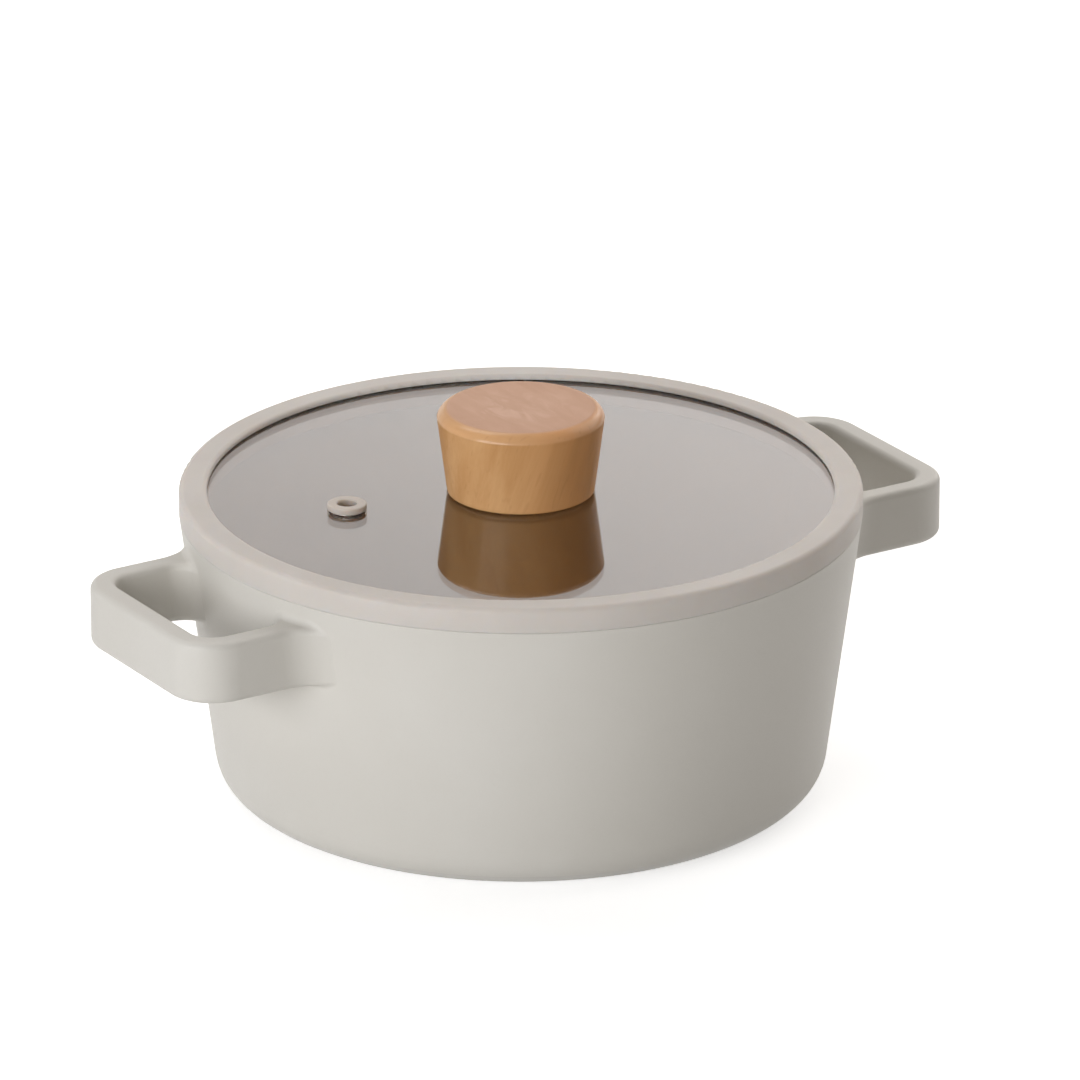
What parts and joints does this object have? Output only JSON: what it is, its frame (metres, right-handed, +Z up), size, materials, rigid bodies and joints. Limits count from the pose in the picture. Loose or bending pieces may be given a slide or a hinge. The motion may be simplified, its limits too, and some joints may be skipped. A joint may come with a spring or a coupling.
{
  "type": "lidded casserole pot",
  "caption": "Low round pot with cast loop handles and a lift-off flat glass lid, edged in silicone, with a steam vent and a turned wooden knob.",
  "frame": {"origin": "on the table, under the middle of the flat base", "axes": "+Z up through the knob, +X out along one handle, +Y across the handles"},
  "size_m": [0.3274, 0.25, 0.1446],
  "materials": {
    "coated_casting": "matte ceramic coating",
    "plate_steel": "brushed",
    "tinted_glass": "polished",
    "silicone": "matte",
    "beech": "satin",
    "brass": "machined",
    "fastener_steel": "satin"
  },
  "bodies": {
    "pot": {"pot_body": "coated_casting", "induction_plate": "plate_steel"},
    "lid": {"lid_glass": "tinted_glass", "silicone_rim": "silicone", "vent_grommet": "silicone", "lid_knob": "beech", "knob_insert": "brass", "knob_gasket": "silicone", "glass_bush": "silicone", "cup_washer": "fastener_steel", "knob_screw": "fastener_steel"}
  },
  "joints": [
    {"name": "lid_lift", "type": "slide", "parent": "pot", "child": "lid", "axis": [0, 0, 1], "range_m": [0, 0.12]}
  ]
}
